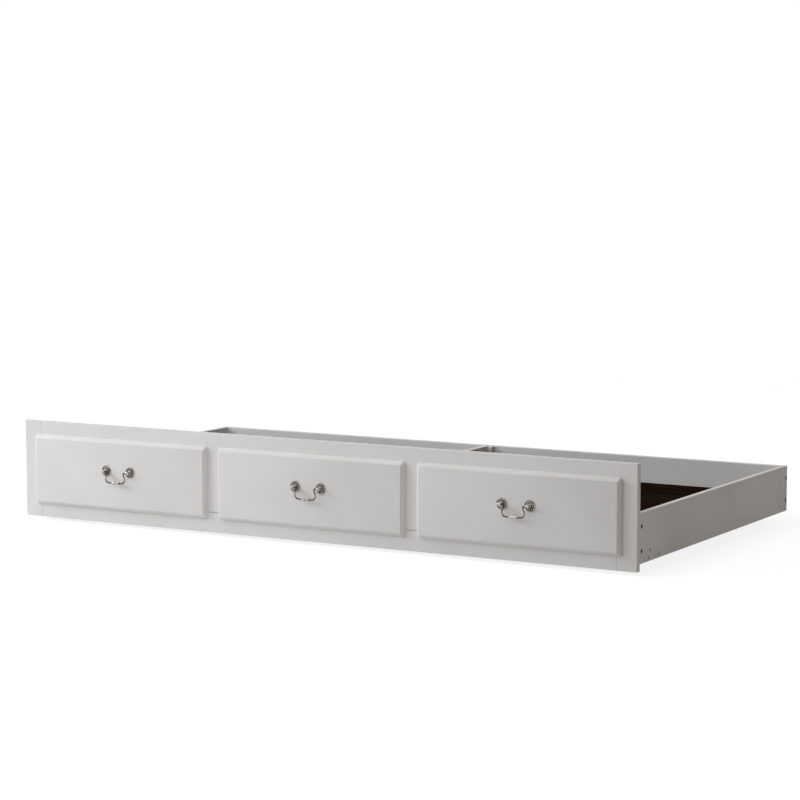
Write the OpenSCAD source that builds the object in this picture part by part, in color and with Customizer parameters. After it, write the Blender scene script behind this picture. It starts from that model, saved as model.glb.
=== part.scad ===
/* [Face frame] */
// Length of the face frame from end to end
face_l = 1950; // [1850:10:2100]
// Height of the face frame
face_h = 280; // [268:2:300]
// Thickness of stiles and rails
frame_t = 18; // [16:1:22]
// Width of the two end stiles
stile_w = 57; // [54:1:66]
// Height of the bottom rail
bottom_rail_h = 57; // [52:1:64]
// Height of the top rail
top_rail_h = 54; // [50:1:60]
// Width of the two middle stiles
mid_stile_w = 57; // [50:1:70]
// Space between the floor and the lower edge of the face frame
floor_gap = 12; // [8:1:16]
// Radius of the eased outer edges of the painted boards
edge_r = 1.5; // [1:0.5:2.5]
// Radius of the sharp edges where two boards meet
joint_r = 0.6; // [0.3:0.1:0.8]

/* [Drawer fronts] */
// Thickness of the false drawer fronts
front_t = 15; // [14:1:18]
// Face frame left showing at each end
front_margin_x = 40; // [36:1:44]
// Face frame left showing above and below
front_margin_z = 38; // [34:1:42]
// Space between two drawer fronts
front_gap = 35; // [30:1:40]
// Radius of the quarter round along the edges of a front
round_r = 8.5; // [7:0.5:9.5]
// Width of the flat shelf between the quarter round and the face
shelf_w = 1.5; // [1:0.5:2.5]
// Step from the shelf up to the face
shelf_drop = 1.5; // [1:0.5:2.5]

/* [Tray] */
// Depth of the tray behind the face frame
tray_d = 1042; // [960:2:1100]
// Height of side panels, back panel and apron
side_h = 132; // [120:1:150]
// Lower edge of the side panels above that of the face frame
side_lift = 18.5; // [14:0.5:24]
// Thickness of the side panels
side_t = 17; // [15:1:20]
// Thickness of the apron behind the face frame
apron_t = 20; // [18:1:22]
// Thickness of the back panel
back_t = 20; // [18:1:22]
// Thickness of the centre divider
divider_t = 18; // [15:1:22]
// Width and depth of the upright cleats at the divider's ends
cleat_w = 17; // [14:1:20]

/* [Deck] */
// Thickness of the deck panels
deck_t = 9.5; // [8:0.5:12]
// Space left around a deck panel
deck_gap = 1; // [0.5:0.5:2]
// Width of the two bearers under the deck
bearer_w = 95; // [90:1:110]
// Height of the bearers
bearer_h = 25; // [22:1:30]
// Space between a cleat at the divider's end and the bearer beside it
bearer_gap = 1; // [0.5:0.5:6]
// Length of the blocks under the bearers' ends
block_l = 60; // [50:1:90]
// Width of the square ledgers under the deck's edges
ledger_w = 18; // [15:1:20]

/* [Casters] */
// Height of a caster from floor to mounting face
caster_h = 50; // [50:1:56]
// Diameter of the wheels
wheel_d = 38; // [34:1:38]
// Width of the wheels
wheel_w = 18; // [14:1:20]
// Distance from the kingpin to the axle
caster_trail = 16; // [14:1:20]
// Distance from the end of the face frame to a kingpin
caster_inset = 260; // [180:10:500]
// Number of ribs on each side of a wheel
wheel_ribs = 6; // [4:1:8]
// Diameter of the axles
axle_d = 6; // [5:0.5:7]
// Diameter of the kingpins
kingpin_d = 8; // [7:0.5:9]
// Length of a caster's plate along the face frame
plate_l = 52; // [50:1:64]
// Width of a caster's plate
plate_w = 44; // [42:1:56]
// Thickness of the plates
plate_t = 2.5; // [2:0.5:3]
// Thickness of the fork's sheet
fork_t = 2; // [1.5:0.5:2.5]
// Diameter of the balls in the swivel
ball_d = 4; // [3.5:0.5:4]
// Number of balls in each swivel
ball_count = 12; // [8:1:14]

/* [Bail pulls] */
// Distance between the two posts of a pull
pull_centres = 82; // [76:1:96]
// Posts above the middle of the drawer front
pull_rise = 11.5; // [0:0.5:18]
// Diameter of the rosettes
rosette_d = 32; // [28:1:34]
// Distance of the bail's pivot from the drawer front
pivot_reach = 14; // [13.5:0.5:18]
// Diameter of the ball at the end of a post
post_ball_d = 10.8; // [10:0.2:12]
// Diameter of the bail's wire
wire_d = 3.8; // [3:0.1:4]
// Distance from the pivot down to the bail's grip
bail_drop = 31; // [28:1:36]
// Angle to which the bail's S-shaped arms lean outwards
bail_lean = 32; // [26:1:38]
// Radius of the bail's lower corners
bail_corner_r = 12; // [10:0.5:13]
// Gap between a post's centre line and the bail's upright arm
arm_set = 12.5; // [11.5:0.5:14]
// Thickest diameter of the grip
grip_d = 7.2; // [5.6:0.2:7.4]

/* [Fasteners] */
// Diameter of the side bolts
bolt_d = 6; // [5:1:6]
// Length of the side bolts
bolt_l = 50; // [46:1:56]
// Diameter of the side bolts' flat heads
bolt_head_d = 12; // [11:0.5:14]
// Distance between the two bolts at a corner
bolt_pitch = 64; // [56:1:72]
// Diameter of the barrel nuts
nut_d = 10; // [9:0.5:12]
// Diameter of the wood screws
screw_d = 4; // [3.5:0.5:4.5]
// Diameter of the wood screws' heads
screw_head_d = 7.5; // [7:0.5:9]
// Diameter of the face frame's dowels
dowel_d = 8; // [6:1:10]
// Length of the dowels
dowel_l = 36; // [30:2:40]
// Radial clearance of everything that sits in a hole
fit_gap = 0.05; // [0.03:0.01:0.08]

/* [Hidden] */
$fn = 48;

// Main planes, seen from the middle of the object on the floor
face_x = face_l / 2;
inner_x = face_x - side_t;
pull_tip = front_t + pivot_reach + max(post_ball_d, grip_d) / 2;
face_y = pull_tip - (pull_tip + frame_t + tray_d) / 2;
front_y = face_y - front_t;
frame_back_y = face_y + frame_t;
apron_back_y = frame_back_y + apron_t;
tray_back_y = frame_back_y + tray_d;
back_panel_y = tray_back_y - back_t;
face_z = floor_gap;
face_top_z = face_z + face_h;
side_z = face_z + side_lift;
rim_z = side_z + side_h;
bearer_z = caster_h;
deck_z = bearer_z + bearer_h;
deck_top_z = deck_z + deck_t;

// Face frame and drawer fronts
rail_x = face_x - stile_w;
opening_z = [face_z + bottom_rail_h, face_top_z - top_rail_h];
front_w = (face_l - 2 * front_margin_x - 2 * front_gap) / 3;
front_pitch = front_w + front_gap;
front_z = [face_z + front_margin_z, face_top_z - front_margin_z];
face_ease = 0.4;
mid_stile_x = front_pitch / 2;

// Bearers, casters and their screws
bearer_set = cleat_w + bearer_gap;
bearer_y = [apron_back_y + bearer_set, back_panel_y - bearer_set - bearer_w];
caster_x = face_x - caster_inset;
caster_y = [bearer_y[0] + bearer_w / 2, bearer_y[1] + bearer_w / 2];
plate_hole_inset = 6.5;
plate_slot_l = 3;
plate_slot_play = 0.8;
plate_corner_r = 5;
plate_screw_l = 18;
pan_head_h = 2.4;
pan_head_round = 1.4;
block_screw_inset = 16;
end_screw_y = 26;
end_screw_rise = 10;
block_screw_bite = 28;
block_screw_l = side_t + block_screw_bite;
block_screw_z = (side_z + bearer_z) / 2;
end_screw_z = bearer_z + end_screw_rise;

// Swivel of a caster, from its plate down
race_d = 32;
race_h = 3.2;
race_round = 1.2;
race_gap = 1.4;
race_z = caster_h - plate_t - race_h;
fork_top_z = race_z - race_gap;
fork_plate_t = 2.5;
ball_ring_r = 10.5;
ball_z = race_z - race_gap / 2;
ball_play = 0.05;
kingpin_head_d = 13;
kingpin_head_h = 1.5;
kingpin_head_round = 1;
kingpin_drop = 0.5;
axle_z = wheel_d / 2;
leg_gap = 1;
leg_x = wheel_w / 2 + leg_gap;
leg_eye_r = 7;
leg_inset = 0.2;
leg_drop = 0.4;
fork_bend_r = 2;
axle_head_d = 9.5;
axle_head_h = 1.4;
axle_head_round = 0.9;

// Wheels
hub_gap = 0.3;
hub_wall = 3.5;
rim_t = 4.5;
tread_r = 2.5;
web_t = 5;
wheel_rib_t = 1.6;
wheel_rib_set = 2;

// Side bolts and barrel nuts
bolt_drop = 1;
bolt_mid_z = side_z + side_h / 2 - bolt_drop;
bolt_z = [bolt_mid_z - bolt_pitch / 2, bolt_mid_z + bolt_pitch / 2];
bolt_y = [frame_back_y + apron_t / 2, tray_back_y - back_t / 2];
bolt_head_h = 2;
bolt_head_ease = 0.5;
bolt_socket_d = 4.6;
bolt_recess = 2.3;
bolt_recess_play = 0.6;
bolt_play = 0.4;
nut_l = 14;
nut_x = face_x - bolt_recess - bolt_l + nut_d;

// Wood screws
frame_screw_bite = 13;
frame_screw_l = apron_t + frame_screw_bite;
frame_screw_drop = 24;
front_screw_bite = 9;
front_screw_l = frame_t + front_screw_bite;
divider_screw_bite = 32;
divider_screw_l = back_t + divider_screw_bite;
divider_screw_rise = 16;
divider_screw_drop = 20;

// Spacing of the two dowels in a joint
rail_dowel_pitch = 26;
stile_dowel_pitch = 28;

// Pulls
pull_z = (front_z[0] + front_z[1]) / 2 + pull_rise;
pivot_y = front_y - pivot_reach;
rosette_h = 3.2;
rosette_t = 1.4;
rosette_boss_rim = 0.6;
rim_bead_r = 1.8;
rim_bead_z = 0.8;
ring_bead_r = 0.9;
ring_bead_z = 1.2;
ring_bead_set = 4.4;
post_foot_d = 11;
post_foot_h = 1.5;
post_neck_d = 7;
pull_screw_d = 4;
pull_screw_head_d = 8;
pull_screw_grip = 5;
pull_screw_play = 0.6;
pull_screw_end_gap = 0.2;
pin_past = 1;
pin_end_gap = 0.5;
wire_bend_r = 3;
wire_joint_swell = 0.04;
grip_l = 30;
grip_end_rise = 0.4;
collar_d = 5.6;
collar_w = 2;

// ---- outlines and boards ----

function arc_points(c, r, from, to, n = 5) =
    [for (i = [0:n]) let (a = from + (to - from) * i / n) c + r * [cos(a), sin(a)]];

// Rectangle from p to q; r holds the radii of its corners, counter-clockwise from the lower left
function soft_rect(p, q, r) = concat(
    arc_points([p.x + r[0], p.y + r[0]], r[0], 180, 270),
    arc_points([q.x - r[1], p.y + r[1]], r[1], 270, 360),
    arc_points([q.x - r[2], q.y - r[2]], r[2], 0, 90),
    arc_points([p.x + r[3], q.y - r[3]], r[3], 90, 180));

// Extrudes an outline drawn in Y and Z along X
module along_x(from, to) {
    translate([from, 0, 0]) rotate([90, 0, 90]) linear_extrude(to - from) children();
}

// Extrudes an outline drawn in X and Z along Y
module along_y(from, to) {
    translate([0, to, 0]) rotate([90, 0, 0]) linear_extrude(to - from) children();
}

// Extrudes an outline drawn in X and Y along Z
module along_z(from, to) {
    translate([0, 0, from]) linear_extrude(to - from) children();
}

// A board between two corners. rx eases its edges along X, rz those along Z
module board(lo, hi, rx, rz) {
    intersection() {
        along_x(lo.x, hi.x) polygon(soft_rect([lo.y, lo.z], [hi.y, hi.z], rx));
        along_z(lo.z, hi.z) polygon(soft_rect([lo.x, lo.y], [hi.x, hi.y], rz));
    }
}

// A batten with all its edges along X and Z slightly eased
module batten(lo, hi, r = 1) {
    board(lo, hi, [r, r, r, r], [r, r, r, r]);
}

// ---- fasteners, drawn along +Z with the top of the head at the origin ----

module wood_screw(l, gap = 0) {
    head_h = (screw_head_d - screw_d) / 2;
    cylinder(d1 = screw_head_d + 2 * gap, d2 = screw_d + 2 * gap, h = head_h);
    cylinder(d = screw_d + 2 * gap, h = l - screw_d);
    translate([0, 0, l - screw_d]) cylinder(d1 = screw_d + 2 * gap, d2 = 1 + 2 * gap, h = screw_d + gap);
}

// A flat disc from the origin up, the lower edge of its rim rounded
module round_disc(d, h, r) {
    rotate_extrude() polygon(concat([[0, 0]], arc_points([d / 2 - r, r], r, 270, 360), [[d / 2, h], [0, h]]));
}

module pan_screw(l, d, head_d) {
    round_disc(head_d, pan_head_h, pan_head_round);
    translate([0, 0, pan_head_h]) cylinder(d = d, h = l);
}

module side_bolt() {
    difference() {
        round_disc(bolt_head_d, bolt_head_h, bolt_head_ease);
        translate([0, 0, -1]) cylinder(d = bolt_socket_d, h = bolt_head_h, $fn = 6);
    }
    translate([0, 0, bolt_head_h]) cylinder(d = bolt_d, h = bolt_l - bolt_head_h);
}

// Puts +Z of its children along the given axis at a point
module at(p, axis) {
    turn = axis == "+x" ? [0, 90, 0] : axis == "-x" ? [0, -90, 0]
        : axis == "+y" ? [-90, 0, 0] : axis == "-y" ? [90, 0, 0] : axis == "-z" ? [180, 0, 0] : [0, 0, 0];
    translate(p) rotate(turn) children();
}

// ---- places of the fasteners ----

// Dowels between rails and stiles lie along X, those between rails and middle stiles along Z
module each_dowel() {
    rail_mid_z = [face_z + bottom_rail_h / 2, face_top_z - top_rail_h / 2];
    dowel_y = face_y + frame_t / 2;
    for (s = [-1, 1], z = rail_mid_z, dz = [-0.5, 0.5])
        at([s * rail_x - dowel_l / 2, dowel_y, z + dz * rail_dowel_pitch], "+x") children();
    for (s = [-1, 1], z = opening_z, dx = [-0.5, 0.5])
        at([s * mid_stile_x + dx * stile_dowel_pitch, dowel_y, z - dowel_l / 2], "+z") children();
}

module dowel_holes() {
    each_dowel() translate([0, 0, -0.5]) cylinder(d = dowel_d + 2 * fit_gap, h = dowel_l + 1);
}

// Screws from the apron's rear face into the face frame
module each_frame_screw() {
    low_z = (max(side_z, face_z) + opening_z[0]) / 2;
    high_z = rim_z - frame_screw_drop;
    for (x = [-5:2:5])
        at([x * rail_x / 6, apron_back_y, low_z], "-y") children();
    for (s = [-1, 1], x = [mid_stile_x, rail_x + stile_w / 2 - side_t / 2])
        at([s * x, apron_back_y, high_z], "-y") children();
}

// Screws from the rails' rear faces into a drawer front centred at x
module each_front_screw(x) {
    low_z = (front_z[0] + opening_z[0]) / 2;
    high_z = (front_z[1] + opening_z[1]) / 2;
    for (s = [-1, 1], z = [low_z, high_z])
        at([x + s * front_w / 3, frame_back_y, z], "-y") children();
}

// Screws through apron and back panel into the divider's ends
module each_divider_screw() {
    for (z = [deck_top_z + divider_screw_rise, rim_z - divider_screw_drop]) {
        at([0, frame_back_y, z], "+y") children();
        at([0, tray_back_y, z], "-y") children();
    }
}

// Bolts through the side panel on side s
module each_side_bolt(s) {
    for (y = bolt_y, z = bolt_z)
        at([s * (face_x - bolt_recess + bolt_head_h), y, z], s > 0 ? "-x" : "+x") children();
}

// Barrel nuts on side s in the apron and the back panel, their axes along Y
module each_barrel_nut(s, y) {
    for (z = bolt_z)
        translate([s * nut_x, y, z]) rotate([90, 0, 0]) children();
}

// Small screws through the side panel on side s: two into each block, one into each bearer
module each_corner_screw(s) {
    for (end = [0, 1]) {
        edge = end == 0 ? bearer_y[0] : bearer_y[1] + bearer_w;
        inwards = end == 0 ? 1 : -1;
        spots = [[block_screw_inset, block_screw_z], [bearer_w - block_screw_inset, block_screw_z],
            [end_screw_y, end_screw_z]];
        for (spot = spots)
            at([s * face_x, edge + inwards * spot[0], spot[1]], s > 0 ? "-x" : "+x") children();
    }
}

module bolt_holes(s) {
    each_side_bolt(s) {
        translate([0, 0, bolt_head_h - bolt_recess - 1])
            cylinder(d = bolt_head_d + bolt_recess_play, h = bolt_recess + 1);
        cylinder(d = bolt_d + bolt_play, h = bolt_l + 1);
    }
}

module screw_hole(l) {
    wood_screw(l, fit_gap);
    translate([0, 0, -1]) cylinder(d = screw_head_d + 2 * fit_gap, h = 1.01);
}

// ---- face frame ----

module stile(s) {
    lo = [s > 0 ? rail_x : -face_x, face_y, face_z];
    hi = [s > 0 ? face_x : -rail_x, frame_back_y, face_top_z];
    outer = [edge_r, edge_r, edge_r, edge_r];
    rz = s > 0 ? [joint_r, edge_r, edge_r, joint_r] : [edge_r, joint_r, joint_r, edge_r];
    color("white") difference() {
        board(lo, hi, outer, rz);
        dowel_holes();
        each_frame_screw() screw_hole(frame_screw_l);
    }
}

module left_stile() { stile(-1); }

module right_stile() { stile(1); }

module rail(z0, z1, rx) {
    color("white") difference() {
        board([-rail_x, face_y, z0], [rail_x, frame_back_y, z1], rx, [joint_r, joint_r, joint_r, joint_r]);
        dowel_holes();
        each_frame_screw() screw_hole(frame_screw_l);
        for (i = [-1:1]) each_front_screw(i * front_pitch) screw_hole(front_screw_l);
    }
}

module top_rail() { rail(opening_z[1], face_top_z, [joint_r, joint_r, edge_r, edge_r]); }

module bottom_rail() { rail(face_z, opening_z[0], [edge_r, edge_r, joint_r, joint_r]); }

module mid_stile(s) {
    color("white") difference() {
        batten([s * mid_stile_x - mid_stile_w / 2, face_y, opening_z[0]],
            [s * mid_stile_x + mid_stile_w / 2, frame_back_y, opening_z[1]], joint_r);
        dowel_holes();
        each_frame_screw() screw_hole(frame_screw_l);
    }
}

module left_mid_stile() { mid_stile(-1); }

module right_mid_stile() { mid_stile(1); }

module frame_dowels() {
    color("burlywood") each_dowel() {
        cylinder(d = dowel_d, h = dowel_l);
    }
}

// ---- drawer fronts ----

// Edge moulding from the face to the side, as inset from the side and height above the back:
// a small step down to a shelf, then a quarter round
function edge_profile() = let (shelf_h = front_t - shelf_drop, face_inset = round_r + shelf_w) concat(
    arc_points([face_inset + face_ease, front_t - face_ease], face_ease, 90, 180, 3),
    [[face_inset, shelf_h]],
    arc_points([round_r, shelf_h - round_r], round_r, 90, 180, 10));

// Cross-section of a drawer front from a to b, its face towards -y
function front_outline(a, b) = let (p = edge_profile(), n = len(p) - 1) concat(
    [[a, front_y + front_t]],
    [for (i = [0:n]) [a + p[n - i].x, front_y + front_t - p[n - i].y]],
    [for (i = [0:n]) [b - p[i].x, front_y + front_t - p[i].y]],
    [[b, front_y + front_t]]);

module drawer_front(x) {
    color("white") difference() {
        intersection() {
            along_z(front_z[0], front_z[1]) polygon(front_outline(x - front_w / 2, x + front_w / 2));
            along_x(x - front_w / 2, x + front_w / 2)
                polygon([for (p = front_outline(front_z[0], front_z[1])) [p.y, p.x]]);
        }
        each_front_screw(x) screw_hole(front_screw_l);
        for (s = [-1, 1])
            at([x + s * pull_centres / 2, front_y - 1, pull_z], "+y")
                cylinder(d = pull_screw_d + pull_screw_play, h = front_t + 2);
    }
}

module left_drawer_front() { drawer_front(-front_pitch); }

module center_drawer_front() { drawer_front(0); }

module right_drawer_front() { drawer_front(front_pitch); }

module drawer_front_screws() {
    color("dimgray") for (i = [-1:1]) each_front_screw(i * front_pitch) wood_screw(front_screw_l);
}

// ---- tray ----

module apron() {
    color("white") difference() {
        batten([-inner_x, frame_back_y, side_z], [inner_x, apron_back_y, rim_z], joint_r);
        each_frame_screw() screw_hole(frame_screw_l);
        each_divider_screw() screw_hole(divider_screw_l);
        for (s = [-1, 1]) {
            bolt_holes(s);
            each_barrel_nut(s, bolt_y[0])
                translate([0, 0, -apron_t]) cylinder(d = nut_d + 2 * fit_gap, h = apron_t + nut_l / 2);
        }
    }
}

module frame_screws() {
    color("dimgray") each_frame_screw() wood_screw(frame_screw_l);
}

module side_panel(s) {
    lo = [s > 0 ? inner_x : -face_x, frame_back_y, side_z];
    hi = [s > 0 ? face_x : -inner_x, tray_back_y, rim_z];
    color("white") difference() {
        intersection() {
            along_y(lo.y, hi.y)
                polygon(soft_rect([lo.x, lo.z], [hi.x, hi.z], [edge_r, edge_r, edge_r, edge_r]));
            along_z(lo.z, hi.z)
                polygon(soft_rect([lo.x, lo.y], [hi.x, hi.y], [joint_r, joint_r, edge_r, edge_r]));
        }
        bolt_holes(s);
        each_corner_screw(s) screw_hole(block_screw_l);
    }
}

module left_side_panel() { side_panel(-1); }

module right_side_panel() { side_panel(1); }

module back_panel() {
    color("white") difference() {
        board([-inner_x, back_panel_y, side_z], [inner_x, tray_back_y, rim_z],
            [edge_r, edge_r, edge_r, edge_r], [joint_r, joint_r, joint_r, joint_r]);
        each_divider_screw() screw_hole(divider_screw_l);
        for (s = [-1, 1]) {
            bolt_holes(s);
            each_barrel_nut(s, bolt_y[1])
                translate([0, 0, -nut_l / 2]) cylinder(d = nut_d + 2 * fit_gap, h = back_t + nut_l / 2);
        }
    }
}

module side_bolts() {
    color("dimgray") for (s = [-1, 1]) each_side_bolt(s) side_bolt();
}

module barrel_nuts() {
    color("silver") difference() {
        for (s = [-1, 1], y = bolt_y)
            each_barrel_nut(s, y) translate([0, 0, -nut_l / 2]) cylinder(d = nut_d, h = nut_l);
        for (s = [-1, 1]) bolt_holes(s);
    }
}

// The divider is notched over both bearers and hangs down between the deck panels
module center_divider() {
    lo = [-divider_t / 2, apron_back_y, bearer_z];
    hi = [divider_t / 2, back_panel_y, rim_z];
    color("white") difference() {
        along_y(lo.y, hi.y)
            polygon(soft_rect([lo.x, lo.z], [hi.x, hi.z], [joint_r, joint_r, edge_r, edge_r]));
        for (y = bearer_y)
            translate([lo.x - 1, y - fit_gap, bearer_z - 1])
                cube([divider_t + 2, bearer_w + 2 * fit_gap, bearer_h + 1]);
        each_divider_screw() screw_hole(divider_screw_l);
    }
}

// Upright cleats in the corners right of the divider, front and back, and their widened outline
module each_cleat(gap = 0) {
    for (y = [apron_back_y, back_panel_y - cleat_w])
        batten([divider_t / 2 - gap, y - gap, bearer_z - gap],
            [divider_t / 2 + cleat_w + gap, y + cleat_w + gap, rim_z - edge_r]);
}

module divider_cleats() {
    color("white") each_cleat();
}

module divider_screws() {
    color("dimgray") each_divider_screw() wood_screw(divider_screw_l);
}

// ---- deck ----

module deck_panel(s) {
    x = [divider_t / 2 + deck_gap, inner_x - deck_gap];
    lo = [s > 0 ? x[0] : -x[1], apron_back_y + deck_gap, deck_z];
    hi = [s > 0 ? x[1] : -x[0], back_panel_y - deck_gap, deck_top_z];
    color("saddlebrown") difference() {
        batten(lo, hi, joint_r);
        each_cleat(deck_gap);
    }
}

module left_deck_panel() { deck_panel(-1); }

module right_deck_panel() { deck_panel(1); }

module bearer(i) {
    color("burlywood") difference() {
        batten([-inner_x, bearer_y[i], bearer_z], [inner_x, bearer_y[i] + bearer_w, deck_z]);
        for (s = [-1, 1]) {
            each_corner_screw(s) screw_hole(block_screw_l);
            translate([s * caster_x, caster_y[i], bearer_z]) each_plate_hole()
                translate([0, 0, -1]) cylinder(d = screw_d + 2 * fit_gap, h = plate_screw_l + 1);
        }
    }
}

module front_bearer() { bearer(0); }

module rear_bearer() { bearer(1); }

module corner_blocks() {
    color("burlywood") difference() {
        for (s = [-1, 1], y = bearer_y)
            batten([s > 0 ? inner_x - block_l : -inner_x, y, side_z],
                [s > 0 ? inner_x : -inner_x + block_l, y + bearer_w, bearer_z]);
        for (s = [-1, 1]) each_corner_screw(s) screw_hole(block_screw_l);
    }
}

module corner_screws() {
    color("dimgray") for (s = [-1, 1]) each_corner_screw(s) wood_screw(block_screw_l);
}

// A square batten under the deck's edge, between the two bearers
module ledger(x) {
    color("burlywood")
        batten([x, bearer_y[0] + bearer_w + deck_gap, deck_z - ledger_w],
            [x + ledger_w, bearer_y[1] - deck_gap, deck_z]);
}

module left_ledger() { ledger(-inner_x); }

module right_ledger() { ledger(inner_x - ledger_w); }

module divider_ledgers() {
    ledger(divider_t / 2);
    ledger(-divider_t / 2 - ledger_w);
}

// ---- bail pulls ----

// Puts its children, turned about the post's axis, at all six posts on the drawer fronts
module each_post() {
    for (i = [-1:1], s = [-1, 1])
        at([i * front_pitch + s * pull_centres / 2, front_y, pull_z], "-y") children();
}

module pull_rosettes() {
    seat_r = (pull_screw_d + pull_screw_play) / 2;
    boss_r = post_foot_d / 2 + rosette_boss_rim;
    rim_r = rosette_d / 2 - rim_bead_r;
    color("silver") each_post() rotate_extrude() {
        translate([seat_r, 0]) square([rim_r - seat_r, rosette_t]);
        intersection() {
            translate([rim_r, rim_bead_z]) circle(rim_bead_r);
            translate([rim_r - rim_bead_r, 0]) square(2 * rim_bead_r);
        }
        translate([rim_r - ring_bead_set, ring_bead_z]) circle(ring_bead_r);
        translate([seat_r, 0]) square([boss_r - seat_r, rosette_h]);
    }
}

module pull_posts() {
    ball_r = post_ball_d / 2;
    hole_r = pull_screw_d / 2 + fit_gap;
    color("silver") for (i = [-1:1], s = [-1, 1])
        at([i * front_pitch + s * pull_centres / 2, front_y, pull_z], "-y") difference() {
            union() {
                translate([0, 0, rosette_h]) cylinder(d = post_foot_d, h = post_foot_h);
                translate([0, 0, rosette_h]) cylinder(d = post_neck_d, h = pivot_reach - rosette_h);
                translate([0, 0, pivot_reach]) sphere(ball_r);
            }
            translate([0, 0, rosette_h - 1])
                cylinder(r = hole_r, h = pull_screw_grip + pull_screw_end_gap + 1);
            translate([-s * (ball_r + 1), 0, pivot_reach]) rotate([0, s * 90, 0])
                cylinder(d = wire_d + 2 * fit_gap, h = ball_r + 1 + pin_past + pin_end_gap);
        }
}

module pull_screws() {
    shank = front_t + rosette_h + pull_screw_grip;
    color("silver") for (i = [-1:1], s = [-1, 1])
        at([i * front_pitch + s * pull_centres / 2, face_y + pan_head_h, pull_z], "-y")
            pan_screw(shank, pull_screw_d, pull_screw_head_d);
}

// A straight length of wire between two points in X and Z
module wire_run(p, q) {
    d = q - p;
    translate([p.x, 0, p.y]) rotate([0, atan2(d.x, d.y), 0]) cylinder(d = wire_d, h = norm(d));
}

// A bend of the wire about a centre in X and Z, from one angle to the other
module wire_bend(c, r, from, to) {
    translate([c.x, 0, c.y]) rotate([90, 0, 0]) rotate([0, 0, min(from, to)])
        rotate_extrude(angle = abs(to - from)) translate([r, 0]) circle(d = wire_d);
}

// A ball a hair thicker than the wire makes one body of two bends that meet at a slant
module wire_joint(p) {
    translate([p.x, 0, p.y]) sphere(d = wire_d + wire_joint_swell);
}

// Right half of the bail's wire, from its pin in the post to the grip, about the pivot.
// The arm leans outwards in one bend and comes back in the bend of the lower corner
module bail_arm() {
    arm_x = pull_centres / 2 - arm_set;
    lean_drop = bail_drop - wire_bend_r - bail_corner_r * (1 + sin(bail_lean));
    lean_r = lean_drop / sin(bail_lean);
    lean_end = [arm_x + lean_r * (1 - cos(bail_lean)), -wire_bend_r - lean_drop];
    corner = lean_end - bail_corner_r * [cos(bail_lean), sin(bail_lean)];
    wire_run([arm_x + wire_bend_r, 0], [pull_centres / 2 + pin_past, 0]);
    wire_bend([arm_x + wire_bend_r, -wire_bend_r], wire_bend_r, 90, 180);
    wire_bend([arm_x + lean_r, -wire_bend_r], lean_r, 180, 180 + bail_lean);
    wire_joint(lean_end);
    wire_bend(corner, bail_corner_r, -90, bail_lean);
    wire_run([0, -bail_drop], [corner.x, -bail_drop]);
}

// Spindle-shaped grip with a collar at each end, turned about X
module bail_grip() {
    end_r = wire_d / 2 + grip_end_rise;
    rise = grip_d / 2 - end_r;
    swell_r = (pow(grip_l / 2, 2) + rise * rise) / (2 * rise);
    translate([0, 0, -bail_drop]) rotate([0, 90, 0]) rotate_extrude() {
        intersection() {
            translate([grip_d / 2 - swell_r, 0]) circle(swell_r, $fn = 360);
            translate([0, -grip_l / 2]) square([grip_d, grip_l]);
        }
        for (s = [-1, 1]) translate([0, s * grip_l / 2 - collar_w / 2]) square([collar_d / 2, collar_w]);
    }
}

module bail(x) {
    color("silver") translate([x, pivot_y, pull_z]) {
        bail_arm();
        mirror([1, 0, 0]) bail_arm();
        bail_grip();
    }
}

module left_bail() { bail(-front_pitch); }

module center_bail() { bail(0); }

module right_bail() { bail(front_pitch); }

// ---- casters ----

// Puts its children at the foot of the kingpin of one caster: a is 0 in front, s is -1 on the left
module at_caster(a, s) {
    translate([s * caster_x, caster_y[a], 0]) children();
}

module each_caster() {
    for (a = [0, 1], s = [-1, 1]) at_caster(a, s) children();
}

// The four holes of a plate, about its centre
module each_plate_hole() {
    for (u = [-1, 1], v = [-1, 1])
        translate([u * (plate_l / 2 - plate_hole_inset), v * (plate_w / 2 - plate_hole_inset), 0])
            children();
}

// A hole lengthened along X
module slot(d, l, h) {
    for (u = [-1, 1]) translate([u * l / 2, 0, 0]) cylinder(d = d, h = h);
    translate([-l / 2, -d / 2, 0]) cube([l, d, h]);
}

module ball_track() {
    rotate_extrude() translate([ball_ring_r, ball_z]) circle(d = ball_d + 2 * ball_play);
}

module caster_plate(a, s) {
    w = plate_l / 2;
    d = plate_w / 2;
    r = plate_corner_r;
    color("silver") at_caster(a, s) difference() {
        union() {
            translate([0, 0, caster_h - plate_t])
                linear_extrude(plate_t) polygon(soft_rect([-w, -d], [w, d], [r, r, r, r]));
            translate([0, 0, race_z]) round_disc(race_d, race_h, race_round);
        }
        ball_track();
        translate([0, 0, race_z - 1]) cylinder(d = kingpin_d + 2 * fit_gap, h = caster_h - race_z + 2);
        each_plate_hole() translate([0, 0, caster_h - plate_t - 1])
            slot(screw_d + plate_slot_play, plate_slot_l, plate_t + 2);
    }
}

module caster_screws() {
    color("silver") each_caster() each_plate_hole()
        translate([0, 0, caster_h - plate_t - pan_head_h])
            pan_screw(plate_screw_l, screw_d, screw_head_d);
}

module caster_kingpins() {
    pin_foot = fork_top_z - fork_plate_t - fit_gap;
    color("silver") each_caster() {
        translate([0, 0, pin_foot - kingpin_head_h])
            round_disc(kingpin_head_d, kingpin_head_h, kingpin_head_round);
        translate([0, 0, pin_foot]) cylinder(d = kingpin_d, h = caster_h - kingpin_drop - pin_foot);
    }
}

module caster_balls() {
    color("silver") each_caster() for (i = [0:ball_count - 1])
        rotate([0, 0, i * 360 / ball_count]) translate([ball_ring_r, 0, ball_z]) sphere(d = ball_d, $fn = 24);
}

// Point where the tangent from p touches the circle about c, on the given side
function tangent_point(p, c, r, side) =
    let (d = p - c, a = atan2(d.y, d.x) + side * acos(r / norm(d))) c + r * [cos(a), sin(a)];

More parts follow.
